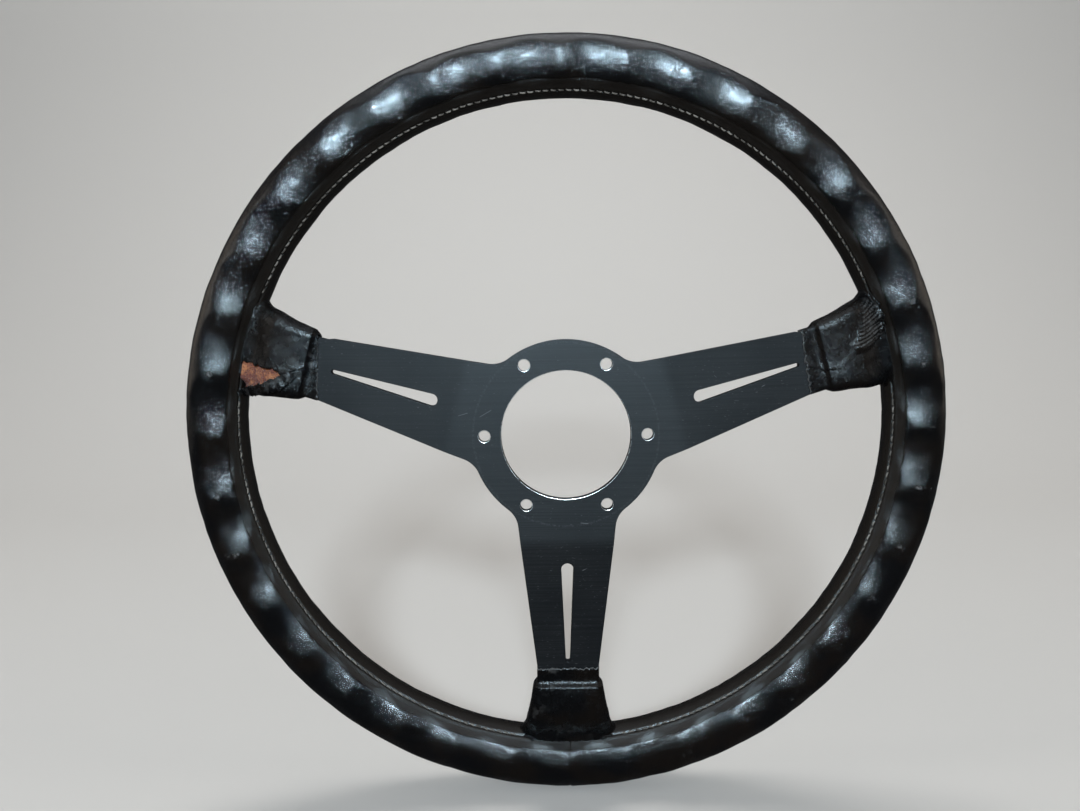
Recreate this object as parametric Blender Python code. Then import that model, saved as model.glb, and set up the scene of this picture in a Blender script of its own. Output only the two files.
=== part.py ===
"""Three-spoke, leather-wrapped steering wheel with no hub boss fitted.

Axes: +Y is the wheel's own axis, from the column side to the driver's side; +Z is twelve o'clock and +X
is to the right as seen from the column side. The origin is the centre of the bolt circle, on the column
face of the spider plate. Everything below is in millimetres until it is scaled on the way into a mesh.
"""

import math

import bmesh
import bpy
from mathutils import Vector

MM = 0.001

# rim
RIM_R = 168.5  # centre of the rim's tube
TUBE_A, TUBE_B = 14.0, 15.0  # half thickness of the wrapped rim: radial, axial
DISH = 27.0  # rim centre plane behind the column face of the plate
LEATHER = 1.2
GAP = 0.3
GRIPS = 36  # finger recesses round the column side of the rim
GRIP_DEPTH = 2.2
GRIP_SHARE = {56: 0.0, 70: 0.68, 85: 1.0, 100: 0.72, 114: 0.0}  # depth share by tube angle
PSIS = (180, 205, 230, 255, 280, 305, 330, 355, 380, 402, 416, 430, 445, 460, 474, 492)  # sections of the tube
SEAM_PSI = 154.0  # where the wrap's two long edges meet, in degrees round the tube
STEPS = 2 * GRIPS
SEAM_GAP = 0.1  # degrees each side of the cross seam at six o'clock

# spider plate
PLATE = 4.0
HUB_R, HOLE_R, CHAMFER = 43.4, 29.5, 0.4
PCD, BOLTS, BOLT_R = 74.0, 6, 2.7
FILLET = 12.0
SPOKES = {"right": 15.4, "left": 164.6, "bottom": 270.0}
EDGE = ((44.0, 22.2), (115.0, 14.8), (117.5, 13.9), (150.0, 13.0), (172.0, 13.0))  # half width along a spoke
SLOPE = 0.18
BEND_IN, BEND_OUT, BEND_HALF = 50.5, 159.4, 3.0
SLOT = (60.3, 112.2, 2.8, 1.0)  # inner end, outer end, half width at each

# rim core and rivets
CORE = (163.5, 173.5, 24.1, 29.1)  # radii, then Y from and to
RIVET_AT, RIVET_V = 168.5, 7.0
RIVET_R, RIVET_HOLE, RIVET_HEAD = 2.4, 2.8, 4.2

# spoke boots: distance along the spoke, half width, column side Y, driver side Y
BOOT = (
    (116.0, 15.2, 10.5, 17.3),
    (122.5, 15.2, 11.7, 18.4),
    (124.6, 16.9, 9.5, 21.4),
    (128.0, 17.6, 9.2, 22.3),
    (136.0, 18.7, 9.6, 24.4),
    (142.0, 20.2, 10.5, 26.4),
    (146.0, 22.4, 11.4, 28.3),
    (150.0, 25.5, 12.4, 30.4),
    (155.0, 26.5, 13.5, 33.2),
    (159.5, 24.0, 14.1, 34.5),
)
BOOT_LEATHER = 1.0
PAD_FROM = 2  # first station of BOOT that has foam under the leather
SEAMS = {"right": (-3.0, 0.13), "left": (0.7, 0.40), "bottom": (-10.2, 0.16)}  # offset at the lip, slope
TONGUES = {
    "right": ("upper", "lower"),
    "left": ("lower", "upper"),
    "bottom": ("right", "left"),
}
THREAD_R = 0.4
THREAD_CLEAR = 10.5  # degrees from a spoke's centre line to the end of the stitching

LOOKS = {
    "plate": ((0.018, 0.021, 0.027, 1), 0.38, 0.85),
    "steel": ((0.32, 0.32, 0.33, 1), 0.4, 1.0),
    "foam": ((0.32, 0.09, 0.045, 1), 0.95, 0.0),
    "leather": ((0.012, 0.012, 0.013, 1), 0.36, 0.0),
    "thread": ((0.45, 0.45, 0.43, 1), 0.8, 0.0),
}


def clear_scene():
    for obj in list(bpy.data.objects):
        bpy.data.objects.remove(obj, do_unlink=True)


def new_collection(name, hidden=False):
    made = bpy.data.collections.new(name)
    bpy.context.scene.collection.children.link(made)
    made.hide_render = hidden
    return made


def look(name, kind):
    material = bpy.data.materials.new(name)
    material.use_nodes = True
    colour, rough, metal = LOOKS[kind]
    shader = material.node_tree.nodes["Principled BSDF"]
    shader.inputs["Base Color"].default_value = colour
    shader.inputs["Roughness"].default_value = rough
    shader.inputs["Metallic"].default_value = metal
    material.diffuse_color = colour
    return material


def mesh_object(name, bm, collection, kind=None):
    bmesh.ops.remove_doubles(bm, verts=bm.verts[:], dist=1e-6)
    bmesh.ops.recalc_face_normals(bm, faces=bm.faces[:])
    mesh = bpy.data.meshes.new(name)
    bm.to_mesh(mesh)
    bm.free()
    obj = bpy.data.objects.new(name, mesh)
    collection.objects.link(obj)
    if kind:
        mesh.materials.append(look(name, kind))
    else:
        obj.hide_render = True
        obj.display_type = "WIRE"
    return obj


def sweep(name, loops, collection, kind=None, ring=False):
    """A solid through a row of matching closed loops of points; ring joins the last loop to the first."""
    bm = bmesh.new()
    rows = [[bm.verts.new(Vector(p) * MM) for p in loop] for loop in loops]
    count = len(rows[0])
    pairs = list(zip(rows, rows[1:]))
    if ring:
        pairs.append((rows[-1], rows[0]))
    for first, second in pairs:
        for i in range(count):
            j = (i + 1) % count
            corners = (first[i], first[j], second[j], second[i])
            turn = (corners[0].co - corners[2].co).length > (corners[1].co - corners[3].co).length
            a, b, c, d = corners[1:] + corners[:1] if turn else corners
            bm.faces.new((a, b, c))
            bm.faces.new((a, c, d))
    if not ring:
        bm.faces.new(rows[0])
        bm.faces.new(rows[-1][::-1])
    return mesh_object(name, bm, collection, kind)


def lathe(name, profile, centre, collection, kind=None, steps=32):
    """A solid turned about an axis along Y through centre (X, Z), from a profile of (radius, Y)."""
    loops = []
    for i in range(steps):
        a = math.tau * i / steps
        loops.append([(centre[0] + r * math.cos(a), y, centre[1] + r * math.sin(a)) for r, y in profile])
    bm = bmesh.new()
    rows = [[bm.verts.new(Vector(p) * MM) for p in loop] for loop in loops]
    for k in range(steps):
        first, second = rows[k], rows[(k + 1) % steps]
        for i in range(len(profile) - 1):
            bm.faces.new((first[i], first[i + 1], second[i + 1], second[i]))
    bm.faces.new([row[0] for row in rows])
    bm.faces.new([row[-1] for row in rows][::-1])
    return mesh_object(name, bm, collection, kind)


def boolean(obj, cutters, operation="DIFFERENCE"):
    for cutter in cutters:
        modifier = obj.modifiers.new(cutter.name, "BOOLEAN")
        modifier.operation = operation
        modifier.solver = "EXACT"
        modifier.object = cutter
    return obj


def along(u, table, column=1):
    """A value from a table by distance along a spoke."""
    for low, high in zip(table, table[1:]):
        if u <= high[0]:
            t = max(0.0, (u - low[0]) / (high[0] - low[0]))
            return low[column] + t * (high[column] - low[column])
    return table[-1][column]


def ramp(u, at):
    """How far past a rounded bend u is: 0 before it, u - at after it."""
    if u <= at - BEND_HALF:
        return 0.0
    if u >= at + BEND_HALF:
        return u - at
    return (u - at + BEND_HALF) ** 2 / (4 * BEND_HALF)


def plate_y(u):
    return SLOPE * (ramp(u, BEND_IN) - ramp(u, BEND_OUT))


def spoke_point(u, v, y, degrees):
    a = math.radians(degrees)
    return (u * math.cos(a) - v * math.sin(a), y, u * math.sin(a) + v * math.cos(a))


def tube_point(theta, psi, a, b):
    t, p = math.radians(theta), math.radians(psi)
    r = RIM_R + a * math.cos(p)
    return (r * math.cos(t), DISH - b * math.sin(p), r * math.sin(t))


def tube_loop(theta, psis, inset, recess=0.0):
    """One section of the rim's tube, this far inside its surface, with this share of the finger recess."""
    loop = []
    for psi in psis:
        deep = inset + recess * GRIP_DEPTH * GRIP_SHARE.get(psi % 360, 0.0)
        loop.append(tube_point(theta, psi, TUBE_A - deep, TUBE_B - deep))
    return loop


def spoke_box(name, degrees, stations, clear, collection, half=None):
    """The plate's own section along a spoke, grown by clear, as a cutter."""
    loops = []
    for u in stations:
        w = (half if half is not None else along(u, EDGE)) + clear
        low, high = plate_y(u) - clear, plate_y(u) + PLATE + clear
        loops.append([spoke_point(u, v, y, degrees) for v, y in ((-w, low), (w, low), (w, high), (-w, high))])
    return sweep(name, loops, collection)


def spider_outline():
    """Points (X, Z) round the plate, anticlockwise: each spoke with its two fillets, then the hub's arc."""
    (u0, v0), (u1, v1) = EDGE[0], EDGE[1]
    k = (v0 - v1) / (u1 - u0)
    n = Vector((k, 1)).normalized()
    reach = n.dot(Vector((u0, v0)))
    lean = math.acos((reach + FILLET) / (HUB_R + FILLET))
    centre_a = math.atan2(n.y, n.x) - lean
    c = Vector((math.cos(centre_a), math.sin(centre_a))) * (HUB_R + FILLET)
    start, end = centre_a + math.pi, math.atan2(-n.y, -n.x) + math.tau
    arc = []
    for i in range(7):
        a = start + (end - start) * i / 6
        arc.append((c.x + FILLET * math.cos(a), c.y + FILLET * math.sin(a)))
    edge = [p for p in EDGE if p[0] > arc[-1][0] + 5]
    upper = edge[::-1] + arc[::-1]
    lower = [(u, -v) for u, v in upper[::-1]]
    points = []
    order = sorted(SPOKES.values())
    for i, degrees in enumerate(order):
        for u, v in lower + upper:
            x, _, z = spoke_point(u, v, 0, degrees)
            points.append((x, z))
        a = math.radians(degrees) + centre_a
        following = math.radians(order[(i + 1) % 3] + 360 * (i == 2)) - centre_a
        steps = max(3, round((following - a) / math.radians(7)))
        for j in range(1, steps):
            b = a + (following - a) * j / steps
            points.append((HUB_R * math.cos(b), HUB_R * math.sin(b)))
    return points


def spider_plate(parts, cutters):
    bm = bmesh.new()
    outline = [bm.verts.new(Vector((x, 0, z)) * MM) for x, z in spider_outline()]
    face = bm.faces.new(outline)
    bends = [at + BEND_HALF * s for at in (BEND_IN, BEND_OUT) for s in (-1, -0.33, 0.33, 1)]
    for degrees in SPOKES.values():
        a = math.radians(degrees)
        direction = Vector((math.cos(a), 0, math.sin(a)))
        for u in bends:
            near = [f for f in bm.faces if max(v.co.dot(direction) for v in f.verts) > u * MM]
            geometry = {g for f in near for g in (f, *f.edges, *f.verts)}
            bmesh.ops.bisect_plane(bm, geom=list(geometry), plane_co=direction * u * MM, plane_no=direction)
    grown = bmesh.ops.extrude_face_region(bm, geom=bm.faces[:])
    for vert in (g for g in grown["geom"] if isinstance(g, bmesh.types.BMVert)):
        vert.co.y += PLATE * MM
    for vert in bm.verts:
        turns = [math.radians(degrees) for degrees in SPOKES.values()]
        u = max(vert.co.x * math.cos(a) + vert.co.z * math.sin(a) for a in turns)
        vert.co.y += plate_y(u / MM) * MM
    plate = mesh_object("spider_plate", bm, parts, "plate")
    hub = [(HOLE_R + CHAMFER + 2, -2), (HOLE_R, CHAMFER), (HOLE_R, PLATE + 2)]
    tools = [lathe("cut_hub_hole", hub, (0, 0), cutters, steps=60)]
    bolt = [(BOLT_R + CHAMFER + 2, -2), (BOLT_R, CHAMFER), (BOLT_R, PLATE + 2)]
    for i in range(BOLTS):
        a = math.tau * i / BOLTS
        at = (PCD / 2 * math.cos(a), PCD / 2 * math.sin(a))
        tools.append(lathe(f"cut_bolt_{i}", bolt, at, cutters, steps=16))
    for side, degrees in SPOKES.items():
        tools.append(slot_cutter(side, degrees, cutters))
        tools += rivet_holes(side, degrees, cutters, 17.0, 24.0)
    return boolean(plate, tools)


def slot_cutter(side, degrees, cutters):
    inner, outer, wide, narrow = SLOT
    outline = []
    for i in range(9):
        a = math.radians(90 + 22.5 * i)
        outline.append((inner + wide + wide * math.cos(a), wide * math.sin(a)))
    for i in range(5):
        a = math.radians(-90 + 45 * i)
        outline.append((outer - narrow + narrow * math.cos(a), narrow * math.sin(a)))
    loops = [[spoke_point(u, v, y, degrees) for u, v in outline] for y in (-5.0, 25.0)]
    return sweep(f"cut_slot_{side}", loops, cutters)


def rivet_places(degrees):
    for sign in (1, -1):
        x, _, z = spoke_point(RIVET_AT, sign * RIVET_V, 0, degrees)
        yield x, z


def rivet_holes(side, degrees, cutters, low, high):
    profile = [(RIVET_HOLE, low), (RIVET_HOLE, high)]
    return [
        lathe(f"cut_rivet_{side}_{i}_{low:g}", profile, at, cutters, steps=12)
        for i, at in enumerate(rivet_places(degrees))
    ]


def rivets(parts):
    tab = plate_y(RIVET_AT)
    low, high, head = tab - GAP, CORE[3] + GAP, 1.5
    profile = [
        (3.0, low - head),
        (RIVET_HEAD, low - head * 0.6),
        (RIVET_HEAD, low),
        (RIVET_R, low),
        (RIVET_R, high),
        (RIVET_HEAD, high),
        (RIVET_HEAD, high + head * 0.6),
        (3.0, high + head),
    ]
    for side, degrees in SPOKES.items():
        for i, at in enumerate(rivet_places(degrees)):
            lathe(f"rivet_{side}_{i + 1}", profile, at, parts, "steel", steps=10)


def thetas(closed):
    if closed:
        return [270 + 360 * i / STEPS for i in range(STEPS)]
    return [270 + SEAM_GAP + (360 - 2 * SEAM_GAP) * i / STEPS for i in range(STEPS + 1)]


def bar_loops(r0, r1, y0, y1):
    """Sections of a flat ring between two radii and two depths."""
    loops = []
    for theta in thetas(True):
        t = math.radians(theta)
        corners = ((r0, y0), (r1, y0), (r1, y1), (r0, y1))
        loops.append([(r * math.cos(t), y, r * math.sin(t)) for r, y in corners])
    return loops


def rim_core(parts, cutters):
    core = sweep("rim_core_ring", bar_loops(*CORE), parts, "steel", ring=True)
    tools = []
    for side, degrees in SPOKES.items():
        tools += rivet_holes(side, degrees, cutters, 22.0, 32.0)
    return boolean(core, tools)


def rim_foam(parts, cutters):
    loops = [
        tube_loop(theta, (SEAM_PSI, *PSIS), LEATHER + GAP, recess=float(i % 2))
        for i, theta in enumerate(thetas(True))
    ]
    foam = sweep("rim_foam", loops, parts, "foam", ring=True)
    r0, r1, y0, y1 = (CORE[0] - 0.4, CORE[1] + 0.4, CORE[2] - 0.4, CORE[3] + 0.4)
    tools = [sweep("cut_core_channel", bar_loops(r0, r1, y0, y1), cutters, ring=True)]
    for side, degrees in SPOKES.items():
        stations = (140, 156.4, 158.4, 160.4, 162.4, 174.4)
        tools.append(spoke_box(f"cut_foam_tab_{side}", degrees, stations, 0.5, cutters))
        corners = ((-12.6, 17.2), (12.6, 17.2), (12.6, 31.5), (-12.6, 31.5))
        pocket = [[spoke_point(u, v, y, degrees) for v, y in corners] for u in (162.7, 174.2)]
        tools.append(sweep(f"cut_foam_pocket_{side}", pocket, cutters))
    return boolean(foam, tools)


def rim_leather(parts, cutters):
    """One strip of leather round the rim: its long edges meet in a grooved seam, its ends at six o'clock."""
    outer = (SEAM_PSI + 5, *PSIS, SEAM_PSI + 355)
    loops = []
    for i, theta in enumerate(thetas(False)):
        recess = float(i % 2)
        loop = tube_loop(theta, outer, 0.0, recess)
        loop += tube_loop(theta, (SEAM_PSI + 360 - 1.5,), 0.75)
        loop += tube_loop(theta, (SEAM_PSI + 360 - 1.5,), LEATHER)
        loop += tube_loop(theta, PSIS[::-1], LEATHER, recess)
        loop += tube_loop(theta, (SEAM_PSI + 1.5,), LEATHER)
        loop += tube_loop(theta, (SEAM_PSI + 1.5,), 0.75)
        loops.append(loop)
    leather = sweep("rim_leather", loops, parts, "leather")
    tools = [
        spoke_box(f"cut_leather_tab_{side}", degrees, (140, 156.4, 158.4, 160.4, 163), 0.5, cutters)
        for side, degrees in SPOKES.items()
    ]
    return boolean(leather, tools)


def seam_threads(parts):
    order = sorted(SPOKES.values())
    names = {order[0]: "seam_thread_top", order[1]: "seam_thread_left", order[2]: "seam_thread_right"}
    grid = [270 + 360 * i / STEPS for i in range(2 * STEPS)]
    for i, degrees in enumerate(order):
        start = degrees + THREAD_CLEAR
        end = order[(i + 1) % 3] + 360 * (i == 2) - THREAD_CLEAR
        stops = [start, *(g % 360 + 360 * k for g in grid[:STEPS] for k in (0, 1)), end]
        stops = sorted({s for s in stops if start <= s <= end})
        loops = []
        for theta in stops:
            t = math.radians(theta)
            x, y, z = tube_point(theta, SEAM_PSI, TUBE_A, TUBE_B)
            r = math.hypot(x, z)
            section = []
            for j in range(6):
                b = math.tau * j / 6
                q = r + THREAD_R * math.cos(b)
                section.append((q * math.cos(t), y + THREAD_R * math.sin(b), q * math.sin(t)))
            loops.append(section)
        sweep(names[degrees], loops, parts, "thread")


def boot_loop(station, degrees, inset):
    """A rounded rectangle across a spoke."""
    u, w, low, high = station
    w, low, high = w - inset, low + inset, high - inset
    radius = min(4.2, (high - low) / 2 - 0.2)
    points = []
    corners = ((w, low, -90), (w, high, 0), (-w, high, 90), (-w, low, 180))
    for v, y, start in corners:
        cv = v - math.copysign(radius, v)
        cy = y + radius if y == low else y - radius
        for step in range(4):
            a = math.radians(start + 30 * step)
            points.append(spoke_point(u, cv + radius * math.cos(a), cy + radius * math.sin(a), degrees))
    return points


def tube_cutter(name, clear, cutters):
    loops = [tube_loop(theta, (SEAM_PSI, *PSIS), -clear) for theta in thetas(True)]
    return sweep(name, loops, cutters, ring=True)


def boots(parts, cutters):
    rim = tube_cutter("cut_rim", GAP + 0.05, cutters)
    stations = (108, 115, 117.5, 125, 135, 145, 152, 156.4, 158.4, 160.4, 162.4, 172)
    for side, degrees in SPOKES.items():
        plate = spoke_box(f"cut_plate_{side}", degrees, stations, GAP, cutters)
        skin_in = BOOT_LEATHER
        first = BOOT[PAD_FROM]
        pad_rows = [(first[0] + 1.3, *first[1:]), *BOOT[PAD_FROM + 1 :], (166.0, *BOOT[-1][1:])]
        pad_loops = [boot_loop(row, degrees, skin_in + GAP) for row in pad_rows]
        boolean(sweep(f"boot_pad_{side}", pad_loops, parts, "foam"), [plate, rim])
        room_rows = [(first[0] + 1.0, *first[1:]), *BOOT[PAD_FROM + 1 :], (168.0, *BOOT[-1][1:])]
        room = sweep(f"cut_room_{side}", [boot_loop(r, degrees, skin_in) for r in room_rows], cutters)
        offset, slope = SEAMS[side]
        for name, sign in zip(TONGUES[side], (1, -1)):
            half = []
            for u in (100.0, 175.0):
                near = offset + slope * (u - BOOT[0][0]) + sign * GAP / 2
                far = near + sign * 60
                corners = ((near, -20), (far, -20), (far, 60), (near, 60))
                half.append([spoke_point(u, v, y, degrees) for v, y in corners])
            keep = sweep(f"keep_{side}_{name}", half, cutters)
            loops = [boot_loop(row, degrees, 0.0) for row in BOOT]
            tongue = sweep(f"boot_leather_{side}_{name}", loops, parts, "leather")
            boolean(tongue, [keep], "INTERSECT")
            boolean(tongue, [room, plate, rim])


def main():
    clear_scene()
    parts = new_collection("steering_wheel")
    cutters = new_collection("cutters", hidden=True)
    spider_plate(parts, cutters)
    rim_core(parts, cutters)
    rivets(parts)
    rim_foam(parts, cutters)
    rim_leather(parts, cutters)
    seam_threads(parts)
    boots(parts, cutters)


main()
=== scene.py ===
"""Leather-wrapped three-spoke steering wheel: the pieces that are seen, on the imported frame.

Lengths are in millimetres until a mesh is made. A place on the rim is a wheel angle (theta, anticlockwise
from +X) and a tube angle (psi: 0 outermost, 90 column side, 180 innermost). A place on a spoke is u, out
from the hub's centre, and v, across it.
"""

import math

import bmesh
import bpy
import numpy as np
from mathutils import Matrix, Vector


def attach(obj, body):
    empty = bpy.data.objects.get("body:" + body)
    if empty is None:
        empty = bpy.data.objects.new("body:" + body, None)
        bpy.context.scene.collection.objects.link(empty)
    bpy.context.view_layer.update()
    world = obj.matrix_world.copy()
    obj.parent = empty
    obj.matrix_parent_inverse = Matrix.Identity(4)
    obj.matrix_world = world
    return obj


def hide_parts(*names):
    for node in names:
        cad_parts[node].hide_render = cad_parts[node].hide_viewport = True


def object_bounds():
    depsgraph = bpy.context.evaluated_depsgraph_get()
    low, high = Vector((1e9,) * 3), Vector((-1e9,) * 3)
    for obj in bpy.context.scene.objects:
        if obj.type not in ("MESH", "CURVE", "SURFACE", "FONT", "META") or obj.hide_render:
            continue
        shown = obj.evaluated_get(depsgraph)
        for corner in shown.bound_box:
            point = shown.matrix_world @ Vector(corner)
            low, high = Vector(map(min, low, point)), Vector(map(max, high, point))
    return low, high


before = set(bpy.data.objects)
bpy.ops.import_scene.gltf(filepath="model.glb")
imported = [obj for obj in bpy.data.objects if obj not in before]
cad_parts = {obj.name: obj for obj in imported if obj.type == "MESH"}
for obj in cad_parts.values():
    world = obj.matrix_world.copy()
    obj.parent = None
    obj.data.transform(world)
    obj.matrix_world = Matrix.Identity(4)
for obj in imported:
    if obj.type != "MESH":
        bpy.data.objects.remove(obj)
CAD_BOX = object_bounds()
MM = 0.001

# the photo's viewpoint, in metres, and its lens, in millimetres
CAMERA_AT, FOCAL_LENGTH, SENSOR = (-0.0084, -0.3631, 0.0555), 27.03, 36.0
CAMERA_WAY, CAMERA_UP = (-0.0086, 0.9934, -0.1141), (0.0143, 0.1142, 0.9933)

# rim: radius of the tube's middle line, the tube's half width and half depth, its middle in Y
RIM_R, TUBE_A, TUBE_B, DISH = 168.5, 14.0, 15.0, 27.0
MM_PER_DEGREE = 0.26  # round the tube, near the seam
GRIPS, RECESS_AT = 36, 275  # finger recesses, and the angle of one of them
GRIP_PITCH = 360 / GRIPS
SEAM, SEAM_R, JOIN_AT = 154.0, RIM_R - 12.6, 270.2  # the long seam's tube angle and radius; the ends' angle
STITCH_PITCH, THREAD_CLEAR = 3.5, 9.6
LEATHER_BACK, FOAM_FACE, CARVE_UNDER = -1.2, -1.55, 1.02  # off the tube; recess depth there, to that on top
RING_IN, RING_OUT, RING_FRONT, RING_BACK = 163.1, 173.9, 23.7, 29.5  # the channel for the core ring
RIM_SCRATCH = (151.3, 83.7, 148.5, 104.3)

# plate
SPOKES = {"right": 15.4, "left": 164.6, "bottom": 270.0}
SPOKE_ANGLES = [math.radians(degrees) for degrees in SPOKES.values()]
PLATE, SLOPE, BEND_IN, BEND_OUT, BEND_HALF = 4.0, 0.18, 50.5, 159.4, 3.0
HUB_R, HOLE_R, PCD, BOLT_R, FILLET = 43.4, 29.5, 74.0, 2.7, 12.0
EDGE = ((44.0, 22.2), (115.0, 14.8), (117.5, 13.9), (150.0, 13.0), (172.0, 13.0))  # u, half width
SLOT = (60.3, 112.2, 2.8, 1.0)  # inner end, outer end, and the radii of the two ends
RIVET_V, RIVET_HOLE_R, PLATE_EDGE = 7.0, 2.8, 0.24


# ---------------------------------------------------------------- camera, stage and light


def camera():
    data = bpy.data.cameras.new("camera")
    data.lens, data.sensor_width, data.sensor_fit = FOCAL_LENGTH, SENSOR, "HORIZONTAL"
    data.clip_start = 0.01
    obj = place("camera", data)
    forward = Vector(CAMERA_WAY).normalized()
    side = forward.cross(Vector(CAMERA_UP)).normalized()
    up = side.cross(forward)
    turn = Matrix((side, up, -forward)).transposed().to_4x4()
    obj.matrix_world = Matrix.Translation(CAMERA_AT) @ turn
    bpy.context.scene.camera = obj


def place(name, data):
    obj = bpy.data.objects.new(name, data)
    bpy.context.scene.collection.objects.link(obj)
    return obj


def area(name, at, towards, size, power, colour):
    data = bpy.data.lights.new(name, "AREA")
    data.shape, data.size, data.size_y = "RECTANGLE", *size
    data.energy, data.color = power, colour
    obj = place(name, data)
    obj.location = at
    obj.rotation_euler = (Vector(towards) - Vector(at)).to_track_quat("-Z", "Y").to_euler()
    return obj


def stage_sweep():
    """A pale floor that turns up into a backdrop."""
    low = CAD_BOX[0][2] - 0.0003
    radius, front, back, height, half = 0.9, -4.0, 1.5, 5.0, 5.0
    outline = [(front, low), (back - radius, low)]
    outline += [
        (back - radius + radius * math.sin(a), low + radius * (1 - math.cos(a)))
        for a in (math.radians(6 * i) for i in range(1, 16))
    ]
    outline.append((back, low + height))
    mesh = bpy.data.meshes.new("backdrop")
    points = [(x, y, z) for y, z in outline for x in (-half, half)]
    mesh.from_pydata(points, [], grid_faces(len(outline), 2, turn=True))
    mesh.shade_smooth()
    mesh.materials.append(surface(new_material("backdrop")[0], (0.60, 0.585, 0.565, 1), 0.85))
    obj = place("backdrop", mesh)
    obj.visible_glossy = False


def gloss_only(obj):
    """A light that shows in polished surfaces and leaves the plain ones alone."""
    obj.visible_diffuse = False


def lights():
    """A window-like key with a narrow blue-white shine just in front of it, and weak lights all round."""
    area("key", (-0.06, -1.95, 0.92), (0, 0, 0.02), (0.42, 0.30), 46, (0.88, 0.95, 1.0))
    shine = area("shine", (-0.06, -1.94, 0.91), (-0.06, 0, 0.15), (0.32, 0.24), 4.5, (0.54, 0.82, 1.0))
    shine.data.spread = math.radians(34)
    gloss_only(shine)
    gloss_only(area("ceiling", (0.0, 0.0, 2.1), (0, 0, 0), (2.4, 2.8), 36, (0.90, 0.95, 1.0)))
    area("fill_left", (-2.0, -0.5, 0.8), (0, 0, 0), (0.5, 0.8), 5, (1.0, 0.97, 0.93))
    area("fill_right", (2.0, -0.4, 0.9), (0, 0, 0), (0.5, 0.8), 4, (1.0, 0.96, 0.9))
    for name, x in (("behind_left", -2.0), ("behind_right", 2.0)):
        gloss_only(area(name, (x, 0.6, 0.5), (0, 0, 0), (0.8, 1.2), 2.6, (1.0, 0.88, 0.74)))
    area("over", (0.1, 1.0, 2.2), (0, 1.1, 0), (1.6, 0.9), 30, (1.0, 0.98, 0.95)).visible_glossy = False
    world = bpy.data.worlds.new("world")
    world.use_nodes = True
    background = world.node_tree.nodes["Background"].inputs
    background["Color"].default_value, background["Strength"].default_value = (0.92, 0.95, 1.0, 1), 0.05
    bpy.context.scene.world = world
    bpy.context.scene.view_settings.view_transform = "Standard"


# ---------------------------------------------------------------- materials


def new_material(name):
    """A material, its nodes, and the object's own coordinates as one of them."""
    material = bpy.data.materials.new(name)
    material.use_nodes = True
    tree = material.node_tree
    return material, tree, add(tree, "TexCoord", {}, {}).outputs["Object"]


def plug(tree, node, inputs):
    """Link the inputs that are sockets and set the ones that are plain values."""
    for key, value in inputs.items():
        if isinstance(value, bpy.types.NodeSocket):
            tree.links.new(value, node.inputs[key])
        else:
            node.inputs[key].default_value = value


def surface(material, colour, rough, normal=None, specular=0.5, metallic=0.0, sheen=0.0):
    """The material with these joined up to its shader."""
    inputs = {"Base Color": colour, "Roughness": rough, "Metallic": metallic}
    inputs |= {"Specular IOR Level": specular, "Sheen Weight": sheen}
    if normal is not None:
        inputs["Normal"] = normal
    plug(material.node_tree, material.node_tree.nodes["Principled BSDF"], inputs)
    return material


def add(tree, kind, props, inputs):
    made = tree.nodes.new("ShaderNode" + kind)
    for key, value in props.items():
        setattr(made, key, value)
    plug(tree, made, inputs)
    return made


def maths(tree, operation, a, b=0.0):
    return add(tree, "Math", {"operation": operation}, {0: a, 1: b}).outputs[0]


def plus(tree, a, b):
    return maths(tree, "ADD", a, b)


def times(tree, a, b):
    return maths(tree, "MULTIPLY", a, b)


def vectors(tree, operation, a, b, out="Vector"):
    return add(tree, "VectorMath", {"operation": operation}, {0: a, 1: b}).outputs[out]


def scaled(tree, vector, factor):
    return add(tree, "VectorMath", {"operation": "SCALE"}, {0: vector, "Scale": factor}).outputs["Vector"]


def spread(tree, value, low, high, to_low=0.0, to_high=1.0, smooth=True):
    """The value mapped from low..high to to_low..to_high, and held at the ends."""
    props = {"interpolation_type": "SMOOTHSTEP" if smooth else "LINEAR"}
    sockets = {"Value": value, "From Min": low, "From Max": high, "To Min": to_low, "To Max": to_high}
    return add(tree, "MapRange", props, sockets).outputs["Result"]


def blend_colour(tree, share, a, b):
    return add(tree, "Mix", {"data_type": "RGBA"}, {0: share, 6: a, 7: b}).outputs[2]


def mapped(tree, where, scale, turn=(0, 0, 0)):
    return add(tree, "Mapping", {}, {"Vector": where, "Scale": scale, "Rotation": turn}).outputs["Vector"]


def noise_of(tree, where, scale, detail=3.0, rough=0.5, twist=0.0, out="Fac"):
    sockets = {"Vector": where, "Scale": scale, "Detail": detail, "Roughness": rough, "Distortion": twist}
    return add(tree, "TexNoise", {}, sockets).outputs[out]


def cells_of(tree, where, scale, feature="DISTANCE_TO_EDGE"):
    made = add(tree, "TexVoronoi", {"feature": feature}, {"Vector": where, "Scale": scale})
    return made.outputs["Distance"]


def bump(tree, height, distance, strength=1.0, before=None):
    sockets = {"Height": height, "Distance": distance, "Strength": strength}
    if before is not None:
        sockets["Normal"] = before
    return add(tree, "Bump", {}, sockets).outputs["Normal"]


def attribute(tree, name):
    return add(tree, "Attribute", {"attribute_name": name}, {}).outputs["Fac"]


def line_mask(tree, where, centre, direction, length, width):
    """A thin line, 1 on it and 0 off it, through centre along direction, in metres."""
    along = Vector(direction).normalized()
    off = vectors(tree, "SUBTRACT", where, centre)
    reach = vectors(tree, "DOT_PRODUCT", off, along, "Value")
    rest = vectors(tree, "SUBTRACT", off, scaled(tree, tuple(along), reach))
    away = vectors(tree, "LENGTH", rest, (0, 0, 0), "Value")
    near = spread(tree, away, width * 0.4, width, 1.0, 0.0)
    ends = spread(tree, maths(tree, "ABSOLUTE", reach), length * 0.4, length * 0.5, 1.0, 0.0)
    return times(tree, near, ends)


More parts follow.
